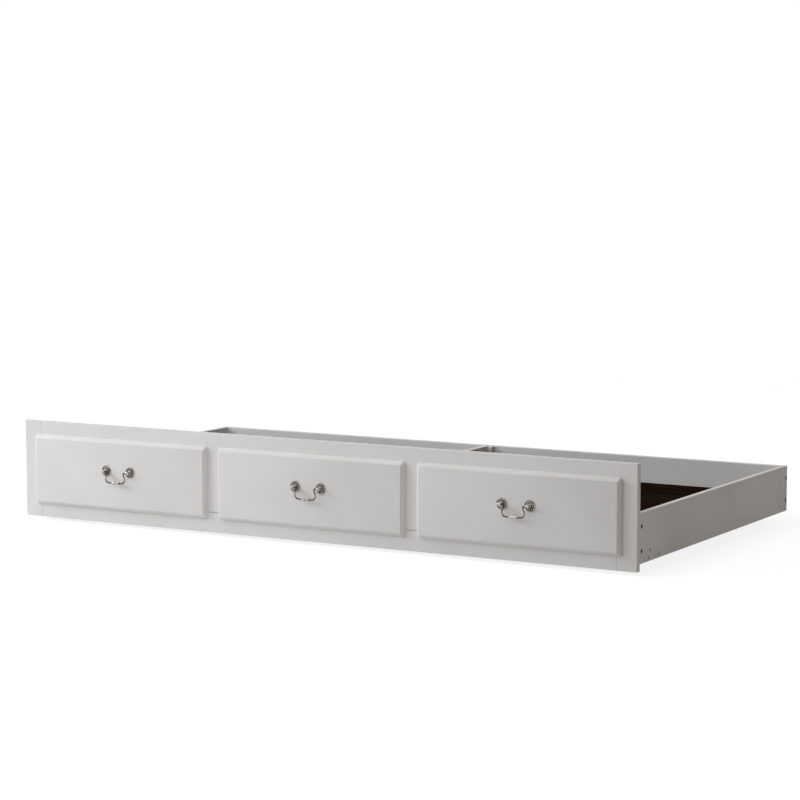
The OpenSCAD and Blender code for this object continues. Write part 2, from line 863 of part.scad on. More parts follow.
// One leg of the fork in Y and Z: it narrows from the swivel plate to the axle's eye
module fork_leg_outline() {
    eye = [caster_trail, axle_z];
    chord = sqrt(pow(race_d / 2, 2) - pow(leg_x + fork_t, 2)) - leg_inset;
    top_z = fork_top_z - leg_drop;
    a = [-chord, top_z];
    b = [chord, top_z];
    polygon([a, tangent_point(a, eye, leg_eye_r, 1), eye, tangent_point(b, eye, leg_eye_r, -1), b]);
    translate(eye) circle(leg_eye_r);
}

// Section of one leg in X and Z: straight sheet, with the hollow of its bend under the plate
module fork_leg_section() {
    plate_z = fork_top_z - fork_plate_t;
    translate([leg_x, axle_z - leg_eye_r]) square([fork_t, fork_top_z - axle_z + leg_eye_r]);
    difference() {
        translate([leg_x - fork_bend_r, plate_z - fork_bend_r]) square(fork_bend_r + fork_t / 2);
        translate([leg_x - fork_bend_r, plate_z - fork_bend_r]) circle(fork_bend_r);
    }
}

module caster_fork(a, s) {
    reach = caster_trail + leg_eye_r;
    color("silver") at_caster(a, s) difference() {
        union() {
            translate([0, 0, fork_top_z - fork_plate_t]) cylinder(d = race_d, h = fork_plate_t);
            for (side = [0, 1]) mirror([side, 0, 0]) intersection() {
                along_x(leg_x - fork_bend_r, leg_x + fork_t) fork_leg_outline();
                along_y(-reach, reach) fork_leg_section();
            }
        }
        ball_track();
        translate([0, 0, fork_top_z - fork_plate_t - 1])
            cylinder(d = kingpin_d + 2 * fit_gap, h = fork_plate_t + 2);
        at([-leg_x - fork_t - 1, caster_trail, axle_z], "+x")
            cylinder(d = axle_d + 2 * fit_gap, h = 2 * (leg_x + fork_t + 1));
    }
}

module caster_axle(a, s) {
    reach = leg_x + fork_t;
    color("gray") at_caster(a, s) at([-reach, caster_trail, axle_z], "+x") {
        cylinder(d = axle_d, h = 2 * reach);
        translate([0, 0, -axle_head_h]) round_disc(axle_head_d, axle_head_h, axle_head_round);
        translate([0, 0, 2 * reach + axle_head_h]) mirror([0, 0, 1])
            round_disc(axle_head_d, axle_head_h, axle_head_round);
    }
}

// Wheel with a rounded tread, a ribbed recess in each side and a hub as wide as the fork allows
module caster_wheel(a, s) {
    r = wheel_d / 2;
    hub_r = axle_d / 2 + hub_wall;
    hub_w = 2 * (leg_x - hub_gap);
    bore_r = axle_d / 2 + fit_gap;
    rib_w = wheel_w - 2 * wheel_rib_set;
    color("dimgray") at_caster(a, s) at([0, caster_trail, axle_z], "+x") {
        rotate_extrude(convexity = 4) {
            difference() {
                polygon(soft_rect([r - rim_t - tread_r, -wheel_w / 2], [r, wheel_w / 2],
                    [joint_r, tread_r, tread_r, joint_r]));
                translate([0, -wheel_w]) square([r - rim_t, 2 * wheel_w]);
            }
            translate([hub_r - 1, -web_t / 2]) square([r - rim_t - hub_r + 1.5, web_t]);
            translate([bore_r, -hub_w / 2]) square([hub_r - bore_r, hub_w]);
        }
        for (i = [0:wheel_ribs - 1])
            rotate([0, 0, i * 360 / wheel_ribs]) translate([hub_r - 0.5, -wheel_rib_t / 2, -rib_w / 2])
                cube([r - rim_t - hub_r + 1, wheel_rib_t, rib_w]);
    }
}

module front_left_caster_plate() { caster_plate(0, -1); }

module front_left_caster_fork() { caster_fork(0, -1); }

module front_left_caster_axle() { caster_axle(0, -1); }

module front_left_caster_wheel() { caster_wheel(0, -1); }

module front_right_caster_plate() { caster_plate(0, 1); }

module front_right_caster_fork() { caster_fork(0, 1); }

module front_right_caster_axle() { caster_axle(0, 1); }

module front_right_caster_wheel() { caster_wheel(0, 1); }

module rear_left_caster_plate() { caster_plate(1, -1); }

module rear_left_caster_fork() { caster_fork(1, -1); }

module rear_left_caster_axle() { caster_axle(1, -1); }

module rear_left_caster_wheel() { caster_wheel(1, -1); }

module rear_right_caster_plate() { caster_plate(1, 1); }

module rear_right_caster_fork() { caster_fork(1, 1); }

module rear_right_caster_axle() { caster_axle(1, 1); }

module rear_right_caster_wheel() { caster_wheel(1, 1); }

left_stile();
right_stile();
top_rail();
bottom_rail();
left_mid_stile();
right_mid_stile();
frame_dowels();
left_drawer_front();
center_drawer_front();
right_drawer_front();
drawer_front_screws();
apron();
frame_screws();
left_side_panel();
right_side_panel();
back_panel();
side_bolts();
barrel_nuts();
center_divider();
divider_cleats();
divider_screws();
left_deck_panel();
right_deck_panel();
front_bearer();
rear_bearer();
corner_blocks();
corner_screws();
left_ledger();
right_ledger();
divider_ledgers();
pull_rosettes();
pull_posts();
pull_screws();
left_bail();
center_bail();
right_bail();
caster_screws();
caster_kingpins();
caster_balls();
front_left_caster_plate();
front_left_caster_fork();
front_left_caster_axle();
front_left_caster_wheel();
front_right_caster_plate();
front_right_caster_fork();
front_right_caster_axle();
front_right_caster_wheel();
rear_left_caster_plate();
rear_left_caster_fork();
rear_left_caster_axle();
rear_left_caster_wheel();
rear_right_caster_plate();
rear_right_caster_fork();
rear_right_caster_axle();
rear_right_caster_wheel();
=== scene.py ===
"""Trundle bed: finishes, mouldings, pulls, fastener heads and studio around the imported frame."""
import logging
import math
from dataclasses import dataclass, field, replace
from enum import Enum

import bmesh
import bpy
import numpy as np
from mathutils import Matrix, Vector


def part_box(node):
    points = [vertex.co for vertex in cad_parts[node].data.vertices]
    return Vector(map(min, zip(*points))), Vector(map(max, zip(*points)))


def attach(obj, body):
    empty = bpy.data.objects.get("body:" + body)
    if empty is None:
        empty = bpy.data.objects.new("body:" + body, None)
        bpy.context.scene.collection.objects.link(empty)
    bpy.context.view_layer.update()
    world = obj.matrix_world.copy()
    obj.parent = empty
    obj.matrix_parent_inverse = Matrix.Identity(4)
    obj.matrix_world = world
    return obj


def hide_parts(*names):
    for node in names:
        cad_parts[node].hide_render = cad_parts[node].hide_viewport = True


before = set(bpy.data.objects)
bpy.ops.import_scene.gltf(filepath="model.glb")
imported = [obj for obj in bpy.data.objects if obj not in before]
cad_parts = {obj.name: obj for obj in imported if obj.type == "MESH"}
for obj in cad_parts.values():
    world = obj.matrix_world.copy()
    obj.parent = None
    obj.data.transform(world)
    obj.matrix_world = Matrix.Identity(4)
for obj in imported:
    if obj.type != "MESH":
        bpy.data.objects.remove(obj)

log = logging.getLogger("trundle_bed")
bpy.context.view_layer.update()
# Point attribute: patina in the pulls' recesses, and painted light: painted reflection on the bail's
# wire, painted shade in screw recesses.
PATINA_AND_PAINTED_LIGHT = "hollow"  # point attribute: how dark the finish lies there, from 0 to 1
WELD = 2e-7  # metres within which two points become one
SIDES = ("left", "center", "right")


# ---- shader building


class Socket:
    """A shader value with ordinary arithmetic: every expression adds its Math nodes."""

    def __init__(self, nodes: "Nodes", out: bpy.types.NodeSocket) -> None:
        """Wraps an output socket of a node tree."""
        self.nodes = nodes
        self.out = out

    def _math(self, operation: str, *values: "Socket | float") -> "Socket":
        """Adds one Math node of the named operation, with its inputs in order."""
        return self.nodes.node("Math", {"operation": operation}, dict(enumerate(values)))

    def __add__(self, other: "Socket | float") -> "Socket":
        """Sum of two values."""
        return self._math("ADD", self, other)

    __radd__ = __add__

    def __mul__(self, other: "Socket | float") -> "Socket":
        """Product of two values."""
        return self._math("MULTIPLY", self, other)

    __rmul__ = __mul__

    def clamp(self) -> "Socket":
        """This value held between 0 and 1."""
        return self.nodes.node("Clamp", {}, {"Value": self})

    def ramp(self, low: float, high: float, to_low: float = 0.0, to_high: float = 1.0) -> "Socket":
        """Maps one range onto another with soft ends.

        Args:
            low: Value that becomes to_low.
            high: Value that becomes to_high.
            to_low: Result at and below low.
            to_high: Result at and above high.

        Returns:
            The mapped value.
        """
        return self.nodes.node("MapRange", {"interpolation_type": "SMOOTHSTEP"}, {
            "Value": self, "From Min": low, "From Max": high, "To Min": to_low, "To Max": to_high})


class Nodes:
    """The node tree of a material or a world."""

    def __init__(self, owner: bpy.types.Material | bpy.types.World) -> None:
        """Gives the owner an empty node tree.

        Args:
            owner: Material or world.
        """
        owner.use_nodes = True
        self.owner = owner
        self.tree = owner.node_tree
        self.tree.nodes.clear()

    def _feed(self, port: bpy.types.NodeSocket, value: object) -> None:
        """Links a socket into an input or sets a plain value, to which a colour adds its alpha.

        Args:
            port: The input.
            value: Socket, number, vector or colour.
        """
        if isinstance(value, Socket):
            self.tree.links.new(value.out, port)
        else:
            port.default_value = (*value, 1.0) if port.type == "RGBA" else value

    def node(self, kind: str, settings: dict[str, object], inputs: dict[str | int, object],
             output: str | int = 0) -> Socket:
        """Adds any node.

        Args:
            kind: Node type without its ShaderNode prefix.
            settings: Attributes set first, such as a Math node's operation.
            inputs: Sockets by name or index, with links or values.
            output: Which output to return.

        Returns:
            The chosen output.
        """
        made = self.tree.nodes.new("ShaderNode" + kind)
        for key, value in settings.items():
            setattr(made, key, value)
        for key, value in inputs.items():
            self._feed(made.inputs[key], value)
        return Socket(self, made.outputs[output])

    def show(self, surface: bpy.types.NodeSocket, kind: str) -> None:
        """Links a surface to a new output node of the kind Material or World."""
        out = self.tree.nodes.new("ShaderNodeOutput" + kind)
        self.tree.links.new(surface, out.inputs["Surface"])

    def seen(self) -> Socket:
        """Tells rays of sight from rays of light.

        Returns:
            1 for rays from the eye, in mirrors and through glass too, and 0 for the others.
        """
        rays = [self.node("LightPath", {}, {}, f"Is {kind} Ray")
                for kind in ("Camera", "Glossy", "Transmission")]
        return (rays[0] + rays[1] + rays[2]).clamp()


class Shader(Nodes):
    """A material with one Principled surface, built on Object coordinates."""

    def __init__(self, name: str) -> None:
        """Starts a material with its Principled surface and its output.

        Args:
            name: Name of the material.
        """
        super().__init__(bpy.data.materials.new(name))
        self.surface = self.tree.nodes.new("ShaderNodeBsdfPrincipled")
        self.show(self.surface.outputs[0], "Material")

    def place(self, scale: tuple[float, float, float] = (1.0, 1.0, 1.0)) -> Socket:
        """Object coordinates in metres, stretched for a pattern."""
        point = self.node("TexCoord", {}, {}, "Object")
        return self.node("Mapping", {}, {"Vector": point, "Scale": scale})

    def noise(self, at: Socket, scale: float, detail: float = 2.0, rough: float = 0.5) -> Socket:
        """Smooth random value from 0 to 1, with features of about 1/scale metres."""
        return self.node("TexNoise", {}, {
            "Vector": at, "Scale": scale, "Detail": detail, "Roughness": rough})

    def blend(self, mask: Socket, low: object, high: object) -> Socket:
        """Mixes two colours.

        Args:
            mask: Share of high, from 0 to 1.
            low: Colour where the mask is 0, plain or linked.
            high: Colour where the mask is 1, plain or linked.

        Returns:
            The mixed colour.
        """
        mix = self.tree.nodes.new("ShaderNodeMix")
        mix.data_type = "RGBA"
        colours = [port for port in mix.inputs if port.type == "RGBA"]
        for port, value in zip([mix.inputs[0], *colours], [mask, low, high]):
            self._feed(port, value)
        return Socket(self, next(port for port in mix.outputs if port.type == "RGBA"))

    def bump(self, height: Socket, distance: float) -> Socket:
        """Normal that a height pattern from 0 to 1 gives, with its full depth in metres."""
        return self.node("Bump", {}, {"Height": height, "Distance": distance, "Strength": 1.0})

    def finish(self, **inputs: object) -> bpy.types.Material:
        """Sets the Principled surface's sockets.

        Args:
            inputs: Values or links by socket name, with _ for a space.

        Returns:
            The finished material.
        """
        for key, value in inputs.items():
            self._feed(self.surface.inputs[key.replace("_", " ")], value)
        return self.owner


# ---- finishes


class Run(Enum):
    """Direction of a board's grain, as the scale of its pattern along each axis."""

    ALONG_X = (0.06, 1.0, 1.0)
    ALONG_Y = (1.0, 0.06, 1.0)
    ALONG_Z = (1.0, 1.0, 0.06)


@dataclass(frozen=True)
class SatinPaint:
    """Warm white satin paint, sprayed and lightly rolled over smooth boards."""

    colour: tuple[float, float, float] = (0.80, 0.795, 0.782)
    shade: tuple[float, float, float] = (0.765, 0.757, 0.738)
    roughness: float = 0.38
    orange_peel: float = 0.00004

    def material(self, run: Run, name: str = "satin_paint") -> bpy.types.Material:
        """Paint with faint cloudy tone, a skin of orange peel and the ghost of the board's grain.

        Args:
            run: Direction of the board's length.
            name: Name that the material starts with.

        Returns:
            The material.
        """
        s = Shader(f"{name}_{run.name.lower()}")
        cloud = s.noise(s.place(), 5.0, 3.0, 0.55)
        peel = s.noise(s.place(), 420.0)
        grain = s.noise(s.place(run.value), 240.0, 4.0, 0.6)
        height = peel * 0.7 + grain * 0.3
        return s.finish(
            Base_Color=s.blend(cloud.ramp(0.3, 0.75), self.colour, self.shade),
            Roughness=cloud.ramp(0.25, 0.8, self.roughness - 0.04, self.roughness + 0.06),
            Specular_IOR_Level=0.35,
            Normal=s.bump(height, self.orange_peel))


@dataclass(frozen=True)
class StainedBoard:
    """Dark brown stained deck board with a close grain."""

    dark: tuple[float, float, float] = (0.012, 0.0066, 0.0044)
    light: tuple[float, float, float] = (0.033, 0.0175, 0.0112)
    roughness: float = 0.62

    def material(self) -> bpy.types.Material:
        """Long dark and lighter streaks along the bed, with fine pores.

        Returns:
            The material.
        """
        s = Shader("stained_board")
        streaks = s.noise(s.place((0.05, 1.0, 1.0)), 38.0, 5.0, 0.62)
        figure = s.noise(s.place((0.16, 1.0, 1.0)), 7.0, 3.0, 0.5)
        pores = s.noise(s.place((0.03, 1.0, 1.0)), 620.0)
        tone = (streaks * 0.65 + figure * 0.35).ramp(0.34, 0.68)
        return s.finish(
            Base_Color=s.blend(tone, self.dark, self.light),
            Roughness=tone.ramp(0.0, 1.0, self.roughness - 0.06, self.roughness + 0.08),
            Specular_IOR_Level=0.0,
            Normal=s.bump(pores * 0.6 + streaks * 0.4, 0.00012))


@dataclass(frozen=True)
class BareWood:
    """Planed softwood or beech without a finish."""

    name: str = "bare_pine"
    early: tuple[float, float, float] = (0.66, 0.49, 0.30)
    late: tuple[float, float, float] = (0.47, 0.30, 0.155)
    rings: float = 10.0

    def material(self, run: Run) -> bpy.types.Material:
        """Growth rings stretched along the board, with fibres and a few darker flecks.

        Args:
            run: Direction of the board's length.

        Returns:
            The material.
        """
        s = Shader(f"{self.name}_{run.name.lower()}")
        at = s.place(run.value)
        rings = s.node("TexWave", {"wave_type": "RINGS", "rings_direction": "SPHERICAL"}, {
            "Vector": at, "Scale": self.rings, "Distortion": 5.0, "Detail": 3.0,
            "Detail Scale": 2.0}, "Fac")
        fibre = s.noise(at, 700.0, 3.0, 0.6)
        tone = (rings * 0.7 + fibre * 0.35).ramp(0.2, 0.95)
        return s.finish(
            Base_Color=s.blend(tone, self.early, self.late),
            Roughness=fibre.ramp(0.2, 0.8, 0.55, 0.72),
            Normal=s.bump(fibre * 0.7 + rings * 0.3, 0.00015))


@dataclass(frozen=True)
class PlatedMetal:
    """Plated or browned steel: a clean tone, a stained tone, and paint over its rear if given."""

    name: str
    bright: tuple[float, float, float]
    dull: tuple[float, float, float]
    roughness: float
    grain: float = 0.00002
    rear_paint: tuple[float, float, float] | None = None

    def material(self) -> bpy.types.Material:
        """Metal with cloudy plating and fine tumbling marks, painted over at the rear if asked.

        Returns:
            The material.
        """
        s = Shader(self.name)
        cloud = s.noise(s.place(), 90.0, 4.0, 0.6)
        marks = s.noise(s.place(), 2600.0)
        stain = cloud.ramp(0.42, 0.72)
        colour, metallic = s.blend(stain, self.bright, self.dull), 1.0
        if self.rear_paint:
            painted = s.node("SeparateXYZ", {}, {"Vector": s.place()}, "Y").ramp(0.0, 0.1)
            colour = s.blend(painted, colour, self.rear_paint)
            metallic = painted.ramp(0.0, 1.0, 1.0, 0.0)
        return s.finish(
            Base_Color=colour,
            Metallic=metallic,
            Roughness=stain.ramp(0.0, 1.0, self.roughness, self.roughness + 0.14),
            Normal=s.bump(marks, self.grain))


@dataclass(frozen=True)
class AntiqueNickel:
    """Polished nickel for the pulls, blackened in its recesses, with painted reflection where the wire's
    point attribute darkens it.
    """

    bright: tuple[float, float, float] = (0.64, 0.60, 0.55)
    # Black of the patina in recesses, and of the painted dark reflection on the bail's arms.
    hollow: tuple[float, float, float] = (0.012, 0.009, 0.007)
    roughness: float = 0.12

    def material(self) -> bpy.types.Material:
        """Bright metal that goes black where the pieces' own point attribute says so: patina in recesses,
        painted reflection along the bail's wire.

        Returns:
            The material.
        """
        s = Shader("antique_nickel")
        hollow = s.node("Attribute", {"attribute_name": PATINA_AND_PAINTED_LIGHT}, {}, "Fac")
        cloud = s.noise(s.place(), 260.0, 4.0, 0.62)
        fine = s.noise(s.place(), 1500.0)
        dark = (hollow * 1.1 + cloud.ramp(0.38, 0.66) * 0.62 + fine.ramp(0.45, 0.75) * 0.2).clamp()
        return s.finish(
            Base_Color=s.blend(dark, self.bright, self.hollow),
            Metallic=dark.ramp(0.5, 1.0, 1.0, 0.7),
            Roughness=dark.ramp(0.0, 1.0, self.roughness, self.roughness + 0.34),
            Normal=s.bump(cloud * 0.7 + fine * 0.3, 0.00004))


@dataclass(frozen=True)
class MouldedNylon:
    """Black nylon with a fine matt skin, for the wheels."""

    colour: tuple[float, float, float] = (0.022, 0.022, 0.024)
    dusty: tuple[float, float, float] = (0.055, 0.052, 0.05)

    def material(self) -> bpy.types.Material:
        """Matt black with a little pale dust and a fine moulded grain.

        Returns:
            The material.
        """
        s = Shader("moulded_nylon")
        dust = s.noise(s.place(), 130.0, 4.0, 0.65)
        skin = s.noise(s.place(), 1800.0)
        return s.finish(
            Base_Color=s.blend(dust.ramp(0.45, 0.8), self.colour, self.dusty),
            Roughness=dust.ramp(0.3, 0.8, 0.48, 0.62),
            Normal=s.bump(skin, 0.00005))


# ---- surfaces


def add_object(name: str, data: bpy.types.ID) -> bpy.types.Object:
    """Puts a new object into the scene.

    Args:
        name: Its name.
        data: Its mesh, lamp or camera.

    Returns:
        The object.
    """
    made = bpy.data.objects.new(name, data)
    bpy.context.scene.collection.objects.link(made)
    return made


class Skin:
    """Gathers closed grid surfaces into one mesh."""

    def __init__(self) -> None:
        """Starts with no points and no faces."""
        self.points: list[np.ndarray] = []
        self.hollow: list[np.ndarray] = []
        self.faces: list[list[int]] = []
        self.count = 0

    def grid(self, points: np.ndarray, caps: bool = True, hollow: np.ndarray | float = 0.0) -> None:
        """Adds a tube-like grid of points as quads.

        Each cell (i, j) becomes the quad of its four neighbours, the last column joins the
        first, and caps close the first and last rows.

        Args:
            points: Array of rows, columns and three coordinates.
            caps: Whether a polygon closes each end row; rows that shrink to a point need none.
            hollow: Darkness of the finish at each point, from 0 to 1.
        """
        rows, cols = points.shape[:2]
        at = self.count + np.arange(rows * cols).reshape(rows, cols)
        right = np.roll(at, -1, axis=1)
        quads = np.stack([at[:-1], right[:-1], right[1:], at[1:]], axis=-1).reshape(-1, 4)
        self.faces.extend(quads.tolist())
        if caps:
            self.faces.extend([at[0, ::-1].tolist(), at[-1].tolist()])
        self.points.append(points.reshape(-1, 3))
        self.hollow.append(np.broadcast_to(hollow, (rows, cols)).ravel())
        self.count += rows * cols

    def piece(self, name: str, body: str, slot: str, material: bpy.types.Material,
              replaces: tuple[str, ...] = (), crease: float = 32.0) -> None:
        """Makes the object, welds its poles and seams and turns its faces outwards.

        Args:
            name: Name of the new piece.
            body: Moving body that it rides on.
            slot: Material slot of the record; not used.
            material: Its finish.
            replaces: Model nodes that it stands for.
            crease: Angle in degrees from which an edge stays sharp.
        """
        mesh = bpy.data.meshes.new(name)
        mesh.from_pydata(np.concatenate(self.points).tolist(), [], self.faces)
        hollow = np.concatenate(self.hollow).astype(np.float32)
        mesh.attributes.new(PATINA_AND_PAINTED_LIGHT, "FLOAT", "POINT").data.foreach_set("value", hollow)
        work = bmesh.new()
        work.from_mesh(mesh)
        bmesh.ops.remove_doubles(work, verts=work.verts, dist=WELD)
        bmesh.ops.recalc_face_normals(work, faces=work.faces)
        work.to_mesh(mesh)
        work.free()
        mesh.shade_smooth()
        mesh.set_sharp_from_angle(angle=math.radians(crease))
        mesh.materials.append(material)
        made = add_object(name, mesh)
        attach(made, body)
        if replaces:
            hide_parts(*replaces)
        log.info("piece %s: %d faces on %s", name, len(mesh.polygons), body)


def ring(radius: np.ndarray, height: np.ndarray, centre: np.ndarray, along: np.ndarray) -> np.ndarray:
    """Lays rows of radii round an axis.

    The point in row i and column j is centre + radius(i, j) * (u cos a + v sin a) +
    height(i, j) * along, where a grows evenly over the columns and u and v lie across the axis.

    Args:
        radius: Rows and columns of radii in metres.
        height: Rows and columns, or rows alone, of heights along the axis.
        centre: Origin of the heights.
        along: Unit vector of the axis.

    Returns:
        Grid of points.
    """
    angle = np.linspace(0, 2 * np.pi, radius.shape[1], endpoint=False)[None, :, None]
    along = np.asarray(along, float)
    u = np.roll(np.abs(along), 1)
    v = np.cross(along, u)
    height = np.broadcast_to(height if height.ndim == 2 else height[:, None], radius.shape)
    across = radius[..., None] * (np.cos(angle) * u + np.sin(angle) * v)
    return np.asarray(centre) + across + height[..., None] * along


def lathe(profile: np.ndarray, centre: np.ndarray, along: np.ndarray, steps: int) -> np.ndarray:
    """Turns a profile of radius and height rows about an axis, the same all round."""
    return ring(np.repeat(profile[:, :1], steps, axis=1), profile[:, 1], centre, along)


def arc(centre: tuple[float, float], radius: float, start: float, end: float,
        steps: int) -> np.ndarray:
    """Points on an arc: centre + radius * (cos(a), sin(a)) for a from start to end, in degrees."""
    a = np.radians(np.linspace(start, end, steps + 1))
    return np.stack([centre[0] + radius * np.cos(a), centre[1] + radius * np.sin(a)], axis=-1)


def sweep(path: np.ndarray, radius: np.ndarray, normal: tuple[float, float, float],
          steps: int = 20) -> np.ndarray:
    """Carries a circle along a flat path, in the plane of the path's normal and its side.

    The side is the normal crossed with the local direction.

    Args:
        path: Rows of points.
        radius: Radius at each point.
        normal: Direction square to the path's plane.
        steps: Points around the circle.

    Returns:
        Grid of points.
    """
    along = np.gradient(path, axis=0)
    along /= np.linalg.norm(along, axis=1, keepdims=True)
    up = np.broadcast_to(np.asarray(normal, float), path.shape)
    side = np.cross(up, along)
    a = np.linspace(0, 2 * np.pi, steps, endpoint=False)[None, :, None]
    circle = np.cos(a) * side[:, None] + np.sin(a) * up[:, None]
    return path[:, None] + radius[:, None, None] * circle


def solids(node: str) -> list[np.ndarray]:
    """Splits a model node into its separate solids.

    Points closer than a micron are one. Every point starts with a label of its own, and each
    triangle passes its lowest label to its corners until no label changes.

    Args:
        node: Name of the node.

    Returns:
        The points of each solid, from left to right.
    """
    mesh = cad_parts[node].data
    points = np.empty(3 * len(mesh.vertices))
    mesh.vertices.foreach_get("co", points)
    corners = np.empty(len(mesh.loops), dtype=int)
    mesh.loops.foreach_get("vertex_index", corners)
    spots, at = np.unique(points.reshape(-1, 3).round(6), axis=0, return_inverse=True)
    triangles = at.ravel()[corners].reshape(-1, 3)
    label = np.arange(len(spots))
    while True:
        lowest = label.copy()
        np.minimum.at(lowest, triangles.ravel(), np.repeat(label[triangles].min(axis=1), 3))
        lowest = lowest[lowest]
        if (lowest == label).all():
            break
        label = lowest
    parts = (spots[label == k] for k in np.unique(label))
    return sorted(parts, key=lambda solid: solid[:, 0].mean())


def dress(names: list[str], material: bpy.types.Material) -> None:
    """Gives model nodes a finish in every material slot.

    Args:
        names: The nodes.
        material: Their finish.
    """
    for name in names:
        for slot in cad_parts[name].material_slots:
            slot.material = material
        log.info("finish %s on node %s", material.name, name)


# ---- painted boards


@dataclass
class Carcass:
    """Face frame, tray boards and divider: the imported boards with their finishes."""

    paint: SatinPaint = SatinPaint()
    deck: StainedBoard = StainedBoard()
    pine: BareWood = BareWood()
    beech: BareWood = BareWood("turned_beech", (0.60, 0.42, 0.25), (0.50, 0.33, 0.18), 15.0)
    # Painted shade: colour of the dark bars in the face frame's joint grooves.
    shade_joint_paint: SatinPaint = SatinPaint((0.10, 0.09, 0.08), (0.07, 0.06, 0.055))
    # Painted highlight: colour of the pale bar at the right end of the top rail.
    highlight_joint_paint: SatinPaint = SatinPaint((0.97, 0.96, 0.94), (0.93, 0.92, 0.90))

    def build(self) -> None:
        """Dresses every board along its own length."""
        paint = {run: self.paint.material(run) for run in Run}
        dress(["top_rail", "bottom_rail", "apron", "back_panel"], paint[Run.ALONG_X])
        dress(["left_side_panel", "right_side_panel", "center_divider"], paint[Run.ALONG_Y])
        dress(["left_stile", "right_stile", "left_mid_stile", "right_mid_stile", "divider_cleats"],
              paint[Run.ALONG_Z])
        dress(["left_deck_panel", "right_deck_panel"], self.deck.material())
        dress(["front_bearer", "rear_bearer", "corner_blocks"], self.pine.material(Run.ALONG_X))
        dress(["left_ledger", "right_ledger", "divider_ledgers"], self.pine.material(Run.ALONG_Y))
        dress(["frame_dowels"], self.beech.material(Run.ALONG_X))
        # Dark bars of painted shade and a pale bar of painted highlight in the frame's joints.
        JointLines().build(self.shade_joint_paint.material(Run.ALONG_Z, "joint_shadow"),
                           self.highlight_joint_paint.material(Run.ALONG_Z, "joint_filler"))


@dataclass
class JointLines:
    """Fine lines in the grooves where the stiles and rails of the face frame meet.

    The joint at the right end of the top rail gets a pale bar, a painted highlight; the others get dark
    bars, painted shade.
    """

    rail_line: float = 0.00044
    stile_line: float = 0.0013
    edge_r: float = 0.0006

    def build(self, dark: bpy.types.Material, pale: bpy.types.Material) -> None:
        """Lays a bar at the rails' ends and one at the foot of each middle stile.

        Args:
            dark: Finish of the dark bars, painted shade in the joint grooves.
            pale: Finish of the pale bar, a painted highlight at the right end of the top rail.
        """
        # Dark bars are painted shade in the grooves; the pale bar is a painted highlight.
        shade_bars, highlight_bars = Skin(), Skin()
        for rail in ("top_rail", "bottom_rail"):
            low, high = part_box(rail)
            self._bar(shade_bars, (low.x, low.z), (low.x, high.z), self.rail_line, low.y)
            # The top rail's right joint takes the pale bar, a painted highlight.
            right = highlight_bars if rail == "top_rail" else shade_bars
            self._bar(right, (high.x, low.z), (high.x, high.z), self.rail_line, low.y)
        for stile in ("left_mid_stile", "right_mid_stile"):
            low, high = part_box(stile)
            self._bar(shade_bars, (low.x, low.z), (high.x, low.z), self.stile_line, low.y)
        shade_bars.piece("frame_joint_lines", "bed", "white_paint", dark)
        highlight_bars.piece("frame_joint_filler", "bed", "white_paint", pale)

    def _bar(self, skin: Skin, start: tuple[float, float], end: tuple[float, float], width: float,
             face_y: float) -> None:
        """Adds one bar between two points of the frame's face.

        Its front lies where the two rounded edges, of radius edge_r, are as far apart as it is
        wide: edge_r - sqrt(edge_r^2 - (edge_r - width / 2)^2) below the face.

        Args:
            skin: Surface that takes the bar.
            start: First end in X and Z.
            end: Last end in X and Z.
            width: Width across the joint.
            face_y: Front of the boards.
        """
        axis = np.array([[start[0], 0.0, start[1]], [end[0], 0.0, end[1]]])
        side = np.cross(axis[1] - axis[0], (0, 1, 0))
        side *= width / 2 / np.linalg.norm(side)
        depth = self.edge_r - math.sqrt(self.edge_r ** 2 - (self.edge_r - width / 2) ** 2)
        near, far = np.array([0, face_y + depth, 0]), np.array([0, face_y + self.edge_r, 0])
        corners = np.stack([near - side, near + side, far + side, far - side])
        skin.grid(axis[:, None] + corners[None])


# ---- drawer fronts


